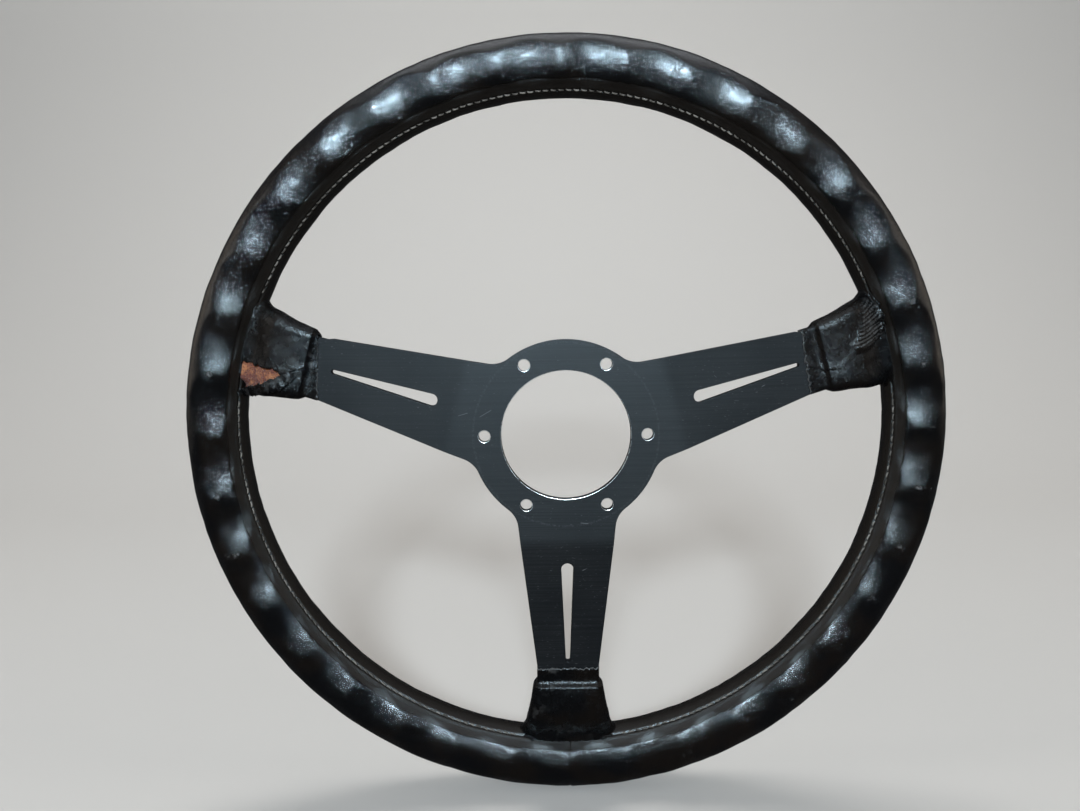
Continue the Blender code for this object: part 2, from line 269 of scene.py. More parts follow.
BLACK, WARM_BLACK = (0.0022, 0.0023, 0.0027, 1), (0.0048, 0.0036, 0.0029, 1)
# the first of these is a painted reflection: the brown of warm surroundings, painted on the dull inner band
# of the rim
PAINTED_WARM_REFLECTION, SCUFFED, RUBBED = (0.0085, 0.0062, 0.0045, 1), (0.055, 0.055, 0.055, 1), (0.085, 0.088, 0.09, 1)
SCRATCH_WIDTH = 0.00045


def leather(name, rough, shine, scratches=()):
    """Old black glazed leather: pebble grain and fine creases. The mesh's wear and rub say where it is
    scuffed and rubbed grey, and a third attribute says where it is dull and painted brown, a painted
    reflection of warm surroundings."""
    material, tree, where = new_material(name)
    drift = noise_of(tree, where, 38, 3)
    patch = noise_of(tree, where, 260, 4, 0.6)
    wander = noise_of(tree, where, 700, 2, out="Color")
    grain = cells_of(tree, vectors(tree, "ADD", where, scaled(tree, wander, 0.0007)), 1250)
    grain = spread(tree, grain, 0.0, 0.22)
    fine = noise_of(tree, where, 3200, 2)
    crease = noise_of(tree, where, 620, 5, 0.62, 1.4)
    crease = spread(tree, maths(tree, "ABSOLUTE", maths(tree, "SUBTRACT", crease, 0.5)), 0.0, 0.045)
    worn = attribute(tree, "wear")
    crumb = noise_of(tree, where, 900, 3, 0.6)
    scuff = spread(tree, plus(tree, patch, times(tree, worn, 0.30)), 0.74, 0.98)
    scuff = times(tree, scuff, plus(tree, times(tree, worn, 0.5), 0.05))
    dull_and_warm_reflection = attribute(tree, "dull_and_warm_reflection")
    colour = blend_colour(tree, spread(tree, drift, 0.42, 0.62), BLACK, WARM_BLACK)
    # painted reflection: the dull inner band is painted brown for the warm surroundings it would reflect
    colour = blend_colour(tree, dull_and_warm_reflection, colour, PAINTED_WARM_REFLECTION)
    colour = blend_colour(tree, scuff, colour, SCUFFED)
    rubbed = plus(tree, attribute(tree, "rub"), times(tree, crumb, 1.6))
    rubbed = spread(tree, rubbed, 1.25, 2.0)
    for centre, direction, length in scratches:
        one = line_mask(tree, where, centre, direction, length, SCRATCH_WIDTH)
        rubbed = maths(tree, "MAXIMUM", rubbed, times(tree, one, 0.8))
    colour = blend_colour(tree, rubbed, colour, RUBBED)
    level = spread(tree, patch, 0.3, 0.7, rough[0], rough[1], False)
    level = plus(tree, level, times(tree, maths(tree, "MAXIMUM", scuff, rubbed), 0.3))
    level = plus(tree, level, times(tree, dull_and_warm_reflection, 0.2))
    height = times(tree, grain, 0.55)
    height = plus(tree, height, times(tree, fine, 0.18))
    height = plus(tree, height, times(tree, crease, 0.4))
    first = bump(tree, height, 0.000055, 0.8)
    second = bump(tree, noise_of(tree, where, 780, 2, 0.6, 0.6), 0.00012, 0.8, first)
    third = bump(tree, noise_of(tree, where, 170, 3), 0.0004, 0.12, second)
    return surface(material, colour, level, third, shine)


def suede(name, colour, pale):
    """The fibrous back or cut edge of leather."""
    material, tree, where = new_material(name)
    tuft = noise_of(tree, where, 900, 5, 0.7)
    colour = blend_colour(tree, spread(tree, tuft, 0.45, 0.72), colour, pale)
    return surface(material, colour, 0.82, bump(tree, tuft, 0.0005, 0.9), sheen=0.15)


MARK_R = 0.0421  # the faint ring that a boss has pressed into the plate


def anodised(name):
    """Black anodised aluminium with fine drawn lines along X, small scratches and mounting marks."""
    material, tree, where = new_material(name)
    lines = noise_of(tree, mapped(tree, where, (14, 40, 1500)), 1.0, 3, 0.6)
    broad = noise_of(tree, where, 30, 3)
    speck = noise_of(tree, where, 900, 3, 0.6)
    radius = vectors(tree, "LENGTH", vectors(tree, "MULTIPLY", where, (1, 0, 1)), (0, 0, 0), "Value")
    ring = maths(tree, "ABSOLUTE", maths(tree, "SUBTRACT", radius, MARK_R))
    ring = spread(tree, ring, 0.0002, 0.0007, 1.0, 0.0)
    ring = times(tree, ring, spread(tree, speck, 0.42, 0.6, 0.0, 0.55))
    fleck = noise_of(tree, mapped(tree, where, (0.5, 1, 2.2), (0, 0.35, 0)), 1100, 2)
    fleck = spread(tree, fleck, 0.67, 0.74)
    marks = None
    rng = np.random.default_rng(11)
    for _ in range(12):
        reach, a = rng.uniform(33, 100), rng.choice((0.27, 2.87, 4.71)) + rng.normal(0, 0.16)
        tilt = rng.normal(0.15, 0.5)
        centre = (reach * math.cos(a) * MM, plate_y(reach) * MM, reach * math.sin(a) * MM)
        one = line_mask(tree, where, centre, (math.cos(tilt), 0, math.sin(tilt)),
                        rng.uniform(3, 9) * MM, rng.uniform(0.12, 0.24) * MM)
        marks = one if marks is None else maths(tree, "MAXIMUM", marks, one)
    base = spread(tree, broad, 0.35, 0.65)
    base = blend_colour(tree, base, (0.0072, 0.0080, 0.0096, 1), (0.0105, 0.0112, 0.0126, 1))
    base = blend_colour(tree, spread(tree, lines, 0.3, 0.7, 0.0, 0.8), base, (0.0012, 0.0014, 0.0018, 1))
    base = blend_colour(tree, ring, base, (0.03, 0.033, 0.037, 1))
    light = maths(tree, "MAXIMUM", times(tree, marks, 0.6), times(tree, fleck, 0.4))
    base = blend_colour(tree, light, base, (0.13, 0.14, 0.15, 1))
    level = spread(tree, plus(tree, lines, times(tree, broad, 0.5)), 0.5, 1.0, 0.42, 0.60, False)
    height = plus(tree, times(tree, lines, 0.7), times(tree, speck, 0.3))
    return surface(material, base, level, bump(tree, height, 0.00006, 0.8), 0.22)


def metal(name, colour, rough, streaks=(900, 900, 900)):
    """Plain metal with fine marks, which are drawn out where streaks is lower along an axis."""
    material, tree, where = new_material(name)
    mark = noise_of(tree, mapped(tree, where, streaks), 1.0, 4, 0.6)
    broad = noise_of(tree, where, 60, 3)
    darker = tuple(0.55 * c for c in colour[:3]) + (1,)
    shade = plus(tree, times(tree, mark, 0.6), times(tree, broad, 0.4))
    colour = blend_colour(tree, spread(tree, shade, 0.38, 0.62), darker, colour)
    level = spread(tree, mark, 0.3, 0.7, rough - 0.07, rough + 0.1, False)
    return surface(material, colour, level, bump(tree, mark, 0.00004, 0.5), metallic=1.0)


def thread(name):
    """Pale waxed thread, dirty in places and greyer towards the bottom of the wheel."""
    material, tree, where = new_material(name)
    dirt = noise_of(tree, where, 160, 4, 0.6)
    ply = noise_of(tree, where, 2400, 2)
    colour = spread(tree, dirt, 0.36, 0.66)
    colour = blend_colour(tree, colour, (0.055, 0.052, 0.048, 1), (0.27, 0.262, 0.245, 1))
    colour = blend_colour(tree, spread(tree, ply, 0.4, 0.6, 0.0, 0.35), colour, (0.06, 0.057, 0.05, 1))
    height = add(tree, "SeparateXYZ", {}, {0: where}).outputs["Z"]
    low = spread(tree, height, -0.16, 0.02, 0.15, 0.0)
    colour = blend_colour(tree, low, colour, (0.035, 0.034, 0.032, 1))
    return surface(material, colour, 0.78, bump(tree, ply, 0.0001, 0.6), 0.02)


def foam(name):
    """Old open-cell foam, red-brown with pale crumbs and dark pores."""
    material, tree, where = new_material(name)
    pores = cells_of(tree, where, 1150, "F1")
    broad = noise_of(tree, where, 210, 4, 0.65)
    crumb = noise_of(tree, where, 1300, 4, 0.7)
    colour = spread(tree, broad, 0.38, 0.62)
    colour = blend_colour(tree, colour, (0.13, 0.026, 0.010, 1), (0.36, 0.135, 0.045, 1))
    colour = blend_colour(tree, spread(tree, crumb, 0.60, 0.72), colour, (0.50, 0.30, 0.19, 1))
    colour = blend_colour(tree, spread(tree, pores, 0.18, 0.5, 0.9, 0.0), colour, (0.06, 0.008, 0.004, 1))
    height = plus(tree, pores, times(tree, crumb, 0.6))
    return surface(material, colour, 0.95, bump(tree, height, 0.0006, 0.9))


# ---------------------------------------------------------------- mesh helpers


def new_object(name, points, faces, materials, attributes=None, indices=None):
    mesh = bpy.data.meshes.new(name)
    mesh.from_pydata((np.asarray(points) * MM).tolist(), [], faces)
    for material in materials:
        mesh.materials.append(material)
    if indices is not None:
        mesh.polygons.foreach_set("material_index", indices)
    for key, values in (attributes or {}).items():
        made = mesh.attributes.new(key, "FLOAT", "POINT")
        made.data.foreach_set("value", np.asarray(values, np.float32))
    mesh.update()
    mesh.shade_smooth()
    return place(name, mesh)


def stand_for(obj, node):
    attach(obj, "root")
    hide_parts(node)


def grid_faces(rows, columns, wrap_rows=False, wrap_columns=False, start=0, turn=False):
    """Faces of a grid of points that are stored row by row from the start index."""
    faces = []
    for i in range(rows if wrap_rows else rows - 1):
        a, b = start + i * columns, start + (i + 1) % rows * columns
        for j in range(columns if wrap_columns else columns - 1):
            k = (j + 1) % columns
            face = (a + j, b + j, b + k, a + k)
            faces.append(face[::-1] if turn else face)
    return faces


def joined(*grids):
    return np.concatenate([grid.reshape(-1, 3) for grid in grids])


def waves(points, length, seed, count=18):
    """Smooth noise of about unit size: plane waves of about this length in random directions."""
    rng = np.random.default_rng(seed)
    ways = rng.normal(size=(count, 3))
    ways /= np.linalg.norm(ways, axis=1)[:, None]
    ways *= (math.tau / length * rng.uniform(0.6, 1.5, count))[:, None]
    turns = rng.uniform(0, math.tau, count)
    flat = np.asarray(points).reshape(-1, 3)
    return (np.cos(flat @ ways.T + turns).sum(1) * math.sqrt(2 / count)).reshape(np.shape(points)[:-1])


def softplus(x, k):
    """x where it is positive and 0 elsewhere, rounded over a width of about k."""
    return k * np.logaddexp(0.0, x / k)


def step_up(x, low, high):
    """0 below low, 1 above high and smooth between them."""
    t = np.clip((x - low) / (high - low), 0, 1)
    return t * t * (3 - 2 * t)


def curve_through(x, knots, column):
    """Monotone cubic through the knots' column."""
    xs = np.array([k[0] for k in knots], float)
    ys = np.array([k[column] for k in knots], float)
    h, d = np.diff(xs), np.diff(ys) / np.diff(xs)
    m = np.zeros_like(ys)
    for i in range(1, len(xs) - 1):
        if d[i - 1] * d[i] > 0:
            m[i] = 2 * d[i - 1] * d[i] / (d[i - 1] + d[i])
    m[0], m[-1] = d[0], d[-1]
    x = np.clip(x, xs[0], xs[-1])
    i = np.clip(np.searchsorted(xs, x) - 1, 0, len(h) - 1)
    t = (x - xs[i]) / h[i]
    return (
        (2 * t**3 - 3 * t**2 + 1) * ys[i] + (t**3 - 2 * t**2 + t) * h[i] * m[i]
        + (3 * t**2 - 2 * t**3) * ys[i + 1] + (t**3 - t**2) * h[i] * m[i + 1]
    )


def ramp(u, at):
    """0 up to a bend at this distance and rising one to one after it, through the bend's arc."""
    u = np.asarray(u, float)
    inside = (u - at + BEND_HALF) ** 2 / (4 * BEND_HALF)
    return np.where(u <= at - BEND_HALF, 0.0, np.where(u >= at + BEND_HALF, u - at, inside))


def plate_y(u):
    """Y of the plate's column side at a distance along a spoke."""
    return SLOPE * (ramp(u, BEND_IN) - ramp(u, BEND_OUT))


def from_spoke(u, v, y, degrees):
    """Points from their distances along and across a spoke."""
    a = math.radians(degrees)
    u, v, y = np.broadcast_arrays(u, v, y)
    return np.stack([u * math.cos(a) - v * math.sin(a), y, u * math.sin(a) + v * math.cos(a)], -1)


def normals_of(grid):
    along = np.gradient(grid, axis=0)
    across = np.gradient(grid, axis=1)
    n = np.cross(along, across)
    return n / np.maximum(np.linalg.norm(n, axis=-1, keepdims=True), 1e-9)


# ---------------------------------------------------------------- rim


def tube(theta, psi, out=0.0):
    """Points on the rim's plain tube, or this far out from it."""
    t, p = np.radians(theta), np.radians(psi)
    t, p, out = np.broadcast_arrays(t, p, out)
    n = np.stack([np.cos(p) / TUBE_A, -np.sin(p) / TUBE_B], -1)
    n /= np.linalg.norm(n, axis=-1, keepdims=True)
    r = RIM_R + TUBE_A * np.cos(p) + out * n[..., 0]
    y = DISH - TUBE_B * np.sin(p) + out * n[..., 1]
    return np.stack([r * np.cos(t), y, r * np.sin(t)], -1)


def recess(theta, psi):
    """How deep the finger recesses and the flat between them are cut, and how near a crest a place is."""
    x = ((theta - RECESS_AT) / GRIP_PITCH + 0.5) % 1 - 0.5
    near, far = 1 - (2 * x) ** 2, 1 - (2 * (1 - np.abs(x))) ** 2
    share = 0.55 * 0.2 * np.logaddexp(near / 0.2, far / 0.2) + 0.45 * np.cos(math.pi * x) ** 2
    t = np.radians(theta)
    uneven = 1 + 0.10 * np.sin(4 * t + 1) + 0.08 * np.sin(9 * t + 2.2) + 0.06 * np.sin(17 * t)
    deep = 0.3 + 1.8 * share * uneven
    centre = 95.0 + 1.2 * np.sin(5 * t + 0.5) + 0.8 * np.sin(11 * t)
    across = (psi - centre) * 0.253
    return softplus(deep - 0.0160 * across**2, 0.11), 1 - share


def scratch(theta_a, psi_a, theta_b, psi_b):
    """A straight mark between two places on the rim: its middle, direction and length in metres."""
    a, b = (tube(theta, psi, -1.2) * MM for theta, psi in ((theta_a, psi_a), (theta_b, psi_b)))
    return tuple((a + b) / 2), tuple(b - a), float(np.linalg.norm(b - a))


def stitch_runs():
    """The angles of the stitches of each run of thread, with the run's name."""
    order = sorted(SPOKES.values())
    for name, low, high in zip(("top", "left", "right"), order, order[1:] + [order[0] + 360]):
        start, end = low + THREAD_CLEAR, high - THREAD_CLEAR
        count = round(math.radians(end - start) * SEAM_R / STITCH_PITCH)
        yield name, [start + (end - start) * (i + 0.5) / count for i in range(count)]


def rim_offset(theta, psi):
    """How far the leather stands off the plain tube, and how near a crest a place is."""
    carve, crest = recess(theta, psi)
    side = (psi - SEAM) * MM_PER_DEGREE
    out = -carve
    band = np.clip(1 - ((psi - 140.5) / 13) ** 2, 0, 1)
    out = out - 0.5 * band**1.3
    pull = 0.5 + 0.5 * np.cos(np.radians(theta) * SEAM_R * math.tau / STITCH_PITCH)
    out = out - (0.62 + 0.16 * pull) * np.exp(-((side / 0.6) ** 2))
    out = out + 0.1 * np.exp(-(((np.abs(side) - 1.5) / 0.8) ** 2)) * (1 - 0.5 * pull)
    upper = 0.55 + 0.45 * np.sin(np.radians(theta))
    fold = psi - 131 - 1.5 * np.sin(np.radians(7 * theta))
    out = out - 0.34 * upper * np.exp(-((fold * MM_PER_DEGREE / 0.45) ** 2))
    across = np.radians(theta - JOIN_AT) * (RIM_R - 5)
    shown = step_up(psi, 8, 30) * (1 - step_up(psi, 150, 175))
    join = -0.42 * np.exp(-((across / 0.4) ** 2))
    join = join + 0.16 * step_up(across, -0.3, 0.3) * np.exp(-np.abs(across) / 5)
    return out + join * shown, crest


def rim(looks):
    """The leather wrap, closed by an inner skin, and the foam body with its channel for the core ring."""
    steps = GRIPS * 19
    theta = 270 + 360 * np.arange(steps) / steps
    theta = np.unique(np.concatenate([theta, JOIN_AT + np.array([-0.3, -0.16, -0.08, 0, 0.08, 0.16, 0.3])]))
    psi = np.concatenate([
        np.arange(168, 400, 6), np.arange(400, 412, 3), np.arange(412, 470, 3.4),
        np.arange(470, 490, 2.2), np.arange(490, 504, 2), np.arange(504, 528, 1),
    ])
    t, p = np.meshgrid(theta, psi % 360, indexing="ij")
    out, crest = rim_offset(t, p)
    plain = tube(t, p)
    out = out + 0.08 * waves(plain, 26, 3) + 0.04 * waves(plain, 9, 4)
    points = tube(t, p, out)
    rows, columns = t.shape
    faces = grid_faces(rows, columns, True, True, turn=True)
    coarse = np.arange(270, 630, 2.0)
    ti, pi = np.meshgrid(coarse, np.arange(0, 360, 12.0), indexing="ij")
    carve = recess(ti, pi)[0] * CARVE_UNDER
    inner = tube(ti, pi, LEATHER_BACK - carve)
    faces += grid_faces(*ti.shape, True, True, start=rows * columns)
    face_side = np.clip(1 - ((p - 86) / 40) ** 2, 0, 1)
    flank = np.abs(np.cos(np.radians(t)))
    wear = np.clip(crest - 0.35, 0, 1) * 1.3 * face_side * (0.35 + 0.65 * flank)
    wear = np.clip(wear + 0.12 * waves(plain, 14, 8) * face_side, 0, 1)
    ridge = np.abs((t / GRIP_PITCH + 0.5) % 1 - 0.5) * GRIP_PITCH * math.radians(1) * RIM_R
    spot = np.exp(-((ridge / 1.9) ** 2) - (((p - 92) * 0.25) / 2.4) ** 2) * step_up(flank, 0.80, 0.97)
    rub = spot * np.clip(0.75 + 0.4 * waves(plain, 30, 12), 0, 1)
    nothing = np.zeros(inner.shape[0] * inner.shape[1])
    # the inner band between the recesses and the seam: duller, and painted brown as a painted reflection of
    # warm surroundings
    dull_and_warm_reflection = step_up(p, 124, 136) * (1 - step_up(p, 170, 215))
    marks = {"wear": wear, "rub": rub, "dull_and_warm_reflection": dull_and_warm_reflection}
    marks = {key: np.concatenate([values.ravel(), nothing]) for key, values in marks.items()}
    wrap = new_object("rim_leather_wrap", joined(points, inner), faces, [looks["leather"]], marks)
    stand_for(wrap, "rim_leather")

    body = tube(ti, pi, FOAM_FACE - carve)
    corners = (RING_IN, RING_BACK), (RING_OUT, RING_BACK), (RING_OUT, RING_FRONT), (RING_IN, RING_FRONT)
    r, y = (np.tile(values, (len(coarse), 1)) for values in zip(*corners))
    turn = np.radians(coarse)[:, None]
    channel = np.stack([r * np.cos(turn), y, r * np.sin(turn)], -1)
    faces = grid_faces(*ti.shape, True, True, turn=True)
    faces += grid_faces(*r.shape, True, True, start=body.shape[0] * body.shape[1], turn=True)
    core = new_object("rim_foam_body", joined(body, channel), faces, [looks["foam"]])
    stand_for(core, "rim_foam")


def stitches(looks):
    """Single stitches along the seam: each lies a little slanted in the groove and dives in at both ends."""
    rings, sides = 9, 8
    s = np.linspace(-1, 1, rings)
    arch = 0.42 * (1 - s**4) - 0.62 * np.abs(s) ** 5
    thick = np.sqrt(np.clip(1 - (0.93 * s) ** 6, 0.05, 1))
    ring = np.linspace(0, math.tau, sides, endpoint=False)
    rng = np.random.default_rng(5)
    for name, places in stitch_runs():
        points, faces = [], []
        for centre in places:
            t, p = math.radians(centre + rng.normal(0, 0.02)), math.radians(SEAM + rng.normal(0, 0.5))
            outward = np.array([math.cos(t), 0, math.sin(t)])
            forth = np.array([-math.sin(t), 0, math.cos(t)])
            normal = math.cos(p) * outward - math.sin(p) * np.array([0, 1.0, 0])
            across = np.cross(forth, normal)
            slant = math.radians(9 + rng.normal(0, 3))
            way = math.cos(slant) * forth + math.sin(slant) * across
            other = np.cross(normal, way)
            middle = tube(centre, SEAM, -0.42 + rng.normal(0, 0.05))
            half = STITCH_PITCH * 0.5 * rng.uniform(0.86, 0.94)
            start = len(points)
            for k in range(rings):
                at = middle + way * s[k] * half + normal * arch[k]
                for a in ring:
                    w = thick[k] * (0.42 * math.cos(a) * other + 0.34 * math.sin(a) * normal)
                    points.append(at + w)
            faces += grid_faces(rings, sides, False, True, start=start)
            faces.append(tuple(range(start, start + sides)))
            faces.append(tuple(range(start + rings * sides - 1, start + (rings - 1) * sides - 1, -1)))
        made = new_object(f"seam_stitches_{name}", points, faces, [looks["thread"]])
        stand_for(made, f"seam_thread_{name}")


# ---------------------------------------------------------------- spider plate


def spider_outline():
    """Points (X, Z) round the plate, anticlockwise."""
    (u0, v0), (u1, v1) = EDGE[0], EDGE[1]
    n = Vector(((v0 - v1) / (u1 - u0), 1)).normalized()
    lean = math.acos((n.dot(Vector((u0, v0))) + FILLET) / (HUB_R + FILLET))
    centre_a = math.atan2(n.y, n.x) - lean
    c = Vector((math.cos(centre_a), math.sin(centre_a))) * (HUB_R + FILLET)
    start, end = centre_a + math.pi, math.atan2(-n.y, -n.x) + math.tau
    arc = [
        (c.x + FILLET * math.cos(a), c.y + FILLET * math.sin(a))
        for a in (start + (end - start) * i / 28 for i in range(29))
    ]
    upper = [p for p in EDGE if p[0] > arc[-1][0] + 5][::-1] + arc[::-1]
    lower = [(u, -v) for u, v in upper[::-1]]
    points, order = [], sorted(SPOKES.values())
    for i, degrees in enumerate(order):
        for u, v in lower + upper:
            x, _, z = from_spoke(u, v, 0.0, degrees)
            points.append((x, z))
        a = math.radians(degrees) + centre_a
        following = math.radians(order[(i + 1) % 3] + 360 * (i == 2)) - centre_a
        steps = max(8, round((following - a) / math.radians(1.6)))
        for j in range(1, steps):
            b = a + (following - a) * j / steps
            points.append((HUB_R * math.cos(b), HUB_R * math.sin(b)))
    return points


def arc_points(x, z, radius, angles):
    return [(x + radius * math.cos(a), z + radius * math.sin(a)) for a in angles]


def circle(x, z, radius, steps):
    return arc_points(x, z, radius, np.linspace(0, math.tau, steps + 1)[:-1])


BOLTS = circle(0, 0, PCD / 2, 6)


def plate_normals(mesh):
    """A normal for each corner, exact on the two broad sides, so that they shade as one bent sheet."""
    normals = [Vector(n.vector) for n in mesh.corner_normals]
    ways = [Vector((math.cos(a), 0, math.sin(a))) for a in SPOKE_ANGLES]
    for face in mesh.polygons:
        if abs(face.normal.y) < 0.97:
            continue
        for corner in face.loop_indices:
            at = mesh.vertices[mesh.loops[corner].vertex_index].co / MM
            u, way = max(((at.dot(w), w) for w in ways), key=lambda pair: pair[0])
            fall = float(plate_y(u + 0.5) - plate_y(u - 0.5))
            outward_y = (way * fall - Vector((0, 1, 0))).normalized()
            normals[corner] = outward_y if face.normal.y < 0 else -outward_y
    return normals


def spider(looks):
    """The plate cut from its outline with rounded edges, then bent at its two bends."""
    inner, outer, wide, narrow = SLOT
    slot = arc_points(inner + wide, 0, wide, np.radians(np.linspace(90, 270, 15)))
    slot += arc_points(outer - narrow, 0, narrow, np.radians(np.linspace(-90, 90, 9)))
    shapes = [spider_outline(), circle(0, 0, HOLE_R, 140)]
    shapes += [circle(x, z, BOLT_R, 36) for x, z in BOLTS]
    for degrees in SPOKES.values():
        shapes.append([tuple(from_spoke(u, v, 0.0, degrees)[[0, 2]]) for u, v in slot])
        for v in (RIVET_V, -RIVET_V):
            x, _, z = from_spoke(RIM_R, v, 0.0, degrees)
            shapes.append(circle(x, z, RIVET_HOLE_R, 20))
    curve = bpy.data.curves.new("spider_curve", "CURVE")
    curve.dimensions, curve.fill_mode = "2D", "BOTH"
    curve.extrude, curve.bevel_depth, curve.bevel_resolution = PLATE / 2 - PLATE_EDGE, PLATE_EDGE, 2
    curve.offset = -PLATE_EDGE
    for shape in shapes:
        spline = curve.splines.new("POLY")
        spline.points.add(len(shape) - 1)
        spline.points.foreach_set("co", np.array([(x, z, 0, 1) for x, z in shape]).ravel())
        spline.use_cyclic_u = True
    helper = place("spider_curve", curve)
    bpy.context.view_layer.update()
    mesh = bpy.data.meshes.new_from_object(helper.evaluated_get(bpy.context.evaluated_depsgraph_get()))
    bpy.data.objects.remove(helper, do_unlink=True)
    bm = bmesh.new()
    bm.from_mesh(mesh)
    bpy.data.meshes.remove(mesh)
    bmesh.ops.remove_doubles(bm, verts=bm.verts[:], dist=0.0005)
    for vert in bm.verts:
        x, z, y = vert.co
        vert.co = (x, PLATE / 2 - y, z)
    stops = [at + BEND_HALF * s for at in (BEND_IN, BEND_OUT) for s in (-1, -0.6, -0.2, 0.2, 0.6, 1)]
    for a in SPOKE_ANGLES:
        direction = Vector((math.cos(a), 0, math.sin(a)))
        for u in stops:
            near = [f for f in bm.faces if max(v.co.dot(direction) for v in f.verts) > u]
            geometry = {g for f in near for g in (f, *f.edges, *f.verts)}
            bmesh.ops.bisect_plane(bm, geom=list(geometry), plane_co=direction * u, plane_no=direction)
    for vert in bm.verts:
        u = max(vert.co.x * math.cos(a) + vert.co.z * math.sin(a) for a in SPOKE_ANGLES)
        vert.co.y += float(plate_y(u))
    bmesh.ops.recalc_face_normals(bm, faces=bm.faces[:])
    holes = [(0, 0, HOLE_R)] + [(x, z, BOLT_R) for x, z in BOLTS]
    for face in bm.faces:  # bare metal shows on the rounded edges of the holes
        c = face.calc_center_median()
        bevel = -0.97 < face.normal.y < -0.15
        from_hole = min(abs(math.hypot(c.x - x, c.z - z) - radius) for x, z, radius in holes)
        face.material_index = 1 if bevel and from_hole < 0.6 else 0
    made = bpy.data.meshes.new("spider_plate_drawn")
    bm.transform(Matrix.Scale(MM, 4))
    bm.to_mesh(made)
    bm.free()
    made.materials.append(looks["plate"])
    made.materials.append(looks["bare"])
    made.shade_smooth()
    made.set_sharp_from_angle(angle=math.radians(34))
    made.normals_split_custom_set(plate_normals(made))
    stand_for(place("spider_plate_drawn", made), "spider_plate")


# ---------------------------------------------------------------- boots on the spokes

# along the spoke: half width, column-side Y, driver-side Y, corner radius
BOOT = (
    (110.0, 15.1, 9.45, 16.4, 1.3),
    (116.0, 15.0, 10.5, 17.3, 1.3),
    (121.6, 15.0, 11.5, 18.2, 1.4),
    (123.0, 15.9, 11.0, 19.2, 2.6),
    (124.6, 16.8, 9.3, 21.2, 4.0),
    (128.0, 17.5, 9.1, 22.4, 5.0),
    (132.0, 18.1, 9.2, 23.4, 5.2),
    (136.0, 18.8, 9.6, 24.4, 5.2),
    (141.0, 19.9, 10.4, 26.1, 5.2),
    (146.0, 22.0, 11.6, 28.3, 5.2),
)
LIP_AT, TURN_AT, SLEEVE_END = 116, 140.5, 157  # where a sleeve starts, turns towards the rim and ends on it
FOOT = (25.5, 6.8, 5.6)  # its outline on the rim: half width, half height round the tube, corner radius
FOOT_R, FOOT_TUBE_R, FOOT_STRETCH = 154, 14.6, 1.6
MEET = 1 - 0.0008  # the share at which two tongues meet in the middle of the driver side
LEATHER, OFF_TAB = 0.85, 1.3  # thickness, and the clearance in front of the plate's tab


def box_line(sigma, w, lo, hi, rad):
    """Across and depth at a signed distance round a rounded box from the middle of its column side."""
    a, sign = np.abs(sigma), np.where(sigma < 0, -1.0, 1.0)
    flat, turn, side = w - rad, rad * math.pi / 2, hi - lo - 2 * rad
    f1 = np.clip((a - flat) / rad, 0, math.pi / 2)
    a3 = np.clip(a - flat - turn, 0, side)
    f2 = np.clip((a - flat - turn - side) / rad, 0, math.pi / 2)
    a5 = np.clip(a - flat - 2 * turn - side, 0, flat)
    v = np.minimum(a, flat) + rad * np.sin(f1) - rad * (1 - np.cos(f2)) - a5
    y = lo + rad * (1 - np.cos(f1)) + a3 + rad * np.sin(f2)
    return sign * v, y


def half_length(w, lo, hi, rad):
    """Half the way round the same box."""
    return 2 * (w - rad) + math.pi * rad + hi - lo - 2 * rad


def station(u):
    """The boot's box at a distance along the spoke."""
    return [curve_through(u, BOOT, i) for i in (1, 2, 3, 4)]


def sleeve(rows, share, degrees, reach, proud):
    """Points of a boot's outside: rows are distances along the spoke, over TURN_AT for the part that flows
    on to the rim; share is -1 to 1 round the half lengths from the middle of the column side."""
    u, share = np.broadcast_arrays(rows, share)
    low = np.minimum(u, TURN_AT)
    box = station(low)
    first = np.stack([low, *box_line(share * half_length(*box), *box)], -1)
    t = np.clip((u - TURN_AT) / (SLEEVE_END - TURN_AT), 0, 1)[..., None]
    fw, fh, fr = FOOT
    ve, se = box_line(share * half_length(fw, -fh, fh, fr), fw, -fh, fh, fr)
    se = np.where(se < 0, se * reach, se)
    theta, psi = np.degrees(ve / (RIM_R - TUBE_A)), 180 + np.degrees(se / FOOT_TUBE_R)
    foot = tube(theta, psi, proud)[..., [0, 2, 1]]
    length = np.hypot(ve, se * FOOT_STRETCH)
    theta = theta + np.degrees(ve / length / FOOT_R)
    psi = psi + np.degrees(se * FOOT_STRETCH / length / FOOT_TUBE_R)
    way = tube(theta, psi, proud)[..., [0, 2, 1]] - foot
    way /= np.linalg.norm(way, axis=-1, keepdims=True)
    span = np.linalg.norm(foot - first, axis=-1, keepdims=True)
    leave = sleeve_start(share)
    h = (2 * t**3 - 3 * t**2 + 1) * first + (t**3 - 2 * t**2 + t) * span * 1.25 * leave
    h = h + (3 * t**2 - 2 * t**3) * foot + (t**3 - t**2) * span * 0.9 * way
    return from_spoke(h[..., 0], h[..., 1], h[..., 2], degrees)


def sleeve_start(share):
    """The direction in which the sleeve's straight part ends."""
    ends = []
    for u in (TURN_AT - 1.0, TURN_AT):
        u = np.full(np.shape(share), u)
        box = station(u)
        ends.append(np.stack([u, *box_line(share * half_length(*box), *box)], -1))
    way = ends[1] - ends[0]
    return way / np.linalg.norm(way, axis=-1, keepdims=True)


def off_rim(points, clear, k):
    """Points moved out of the rim's tube to at least this clearance, rounded over about k."""
    x, y, z = points[..., 0], points[..., 1], points[..., 2]
    r = np.hypot(x, z)
    a, b = (r - RIM_R) / TUBE_A, (y - DISH) / TUBE_B
    rho = np.maximum(np.hypot(a, b), 1e-3)
    ga, gb = a / TUBE_A, b / TUBE_B
    g = np.hypot(ga, gb)
    d = (rho - 1) * rho / g
    move = softplus(clear - d, k)
    dr, dy = ga / g * move, gb / g * move
    return np.stack([x + dr * x / r, y + dy, z + dr * z / r], -1)


